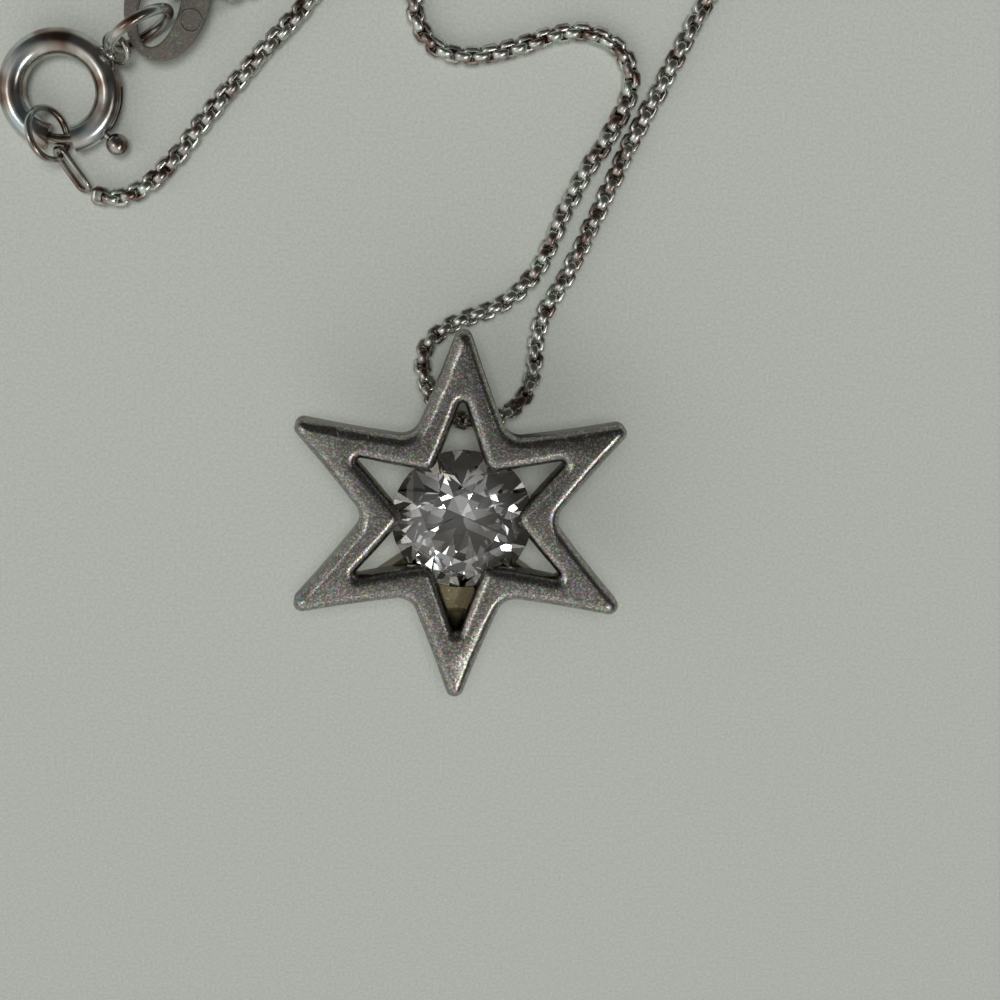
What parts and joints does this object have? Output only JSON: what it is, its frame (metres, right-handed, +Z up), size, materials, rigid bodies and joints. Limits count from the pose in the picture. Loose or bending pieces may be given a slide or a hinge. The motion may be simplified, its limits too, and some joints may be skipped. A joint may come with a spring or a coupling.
{
  "type": "star pendant necklace",
  "caption": "Pierced six-pointed star pendant with a round brilliant stone, lying on its box chain, which closes with a spring ring.",
  "frame": {"origin": "on the surface that the pendant lies on, straight below the middle of the stone, in the middle of the collet's foot", "axes": "+Y towards the star's top point, where the chain runs through the bails, +Z up out of the star's face, +X to the right seen from above"},
  "size_m": [0.1092, 0.1486, 0.0049],
  "materials": {
    "satin_silver": "satin, lightly blasted",
    "blasted_silver": "blasted",
    "polished_silver": "polished",
    "clear_stone": "polished facets"
  },
  "bodies": {
    "necklace": {"star_frame": "satin_silver", "stone": "clear_stone", "chain": "polished_silver", "clasp_body": "polished_silver", "clasp_ring": "polished_silver", "tag": "blasted_silver", "tag_ring": "polished_silver", "end_ring": "polished_silver", "end_link": "polished_silver"},
    "gate": {"clasp_gate": "polished_silver"}
  },
  "joints": [
    {"name": "gate_slide_round", "type": "hinge", "parent": "necklace", "child": "gate", "pos_m": [-0.019, 0.0194, 0.00078], "axis": [0, 0, 1], "range_deg": [0, 42], "stiffness_Nm_per_rad": 0.004}
  ]
}
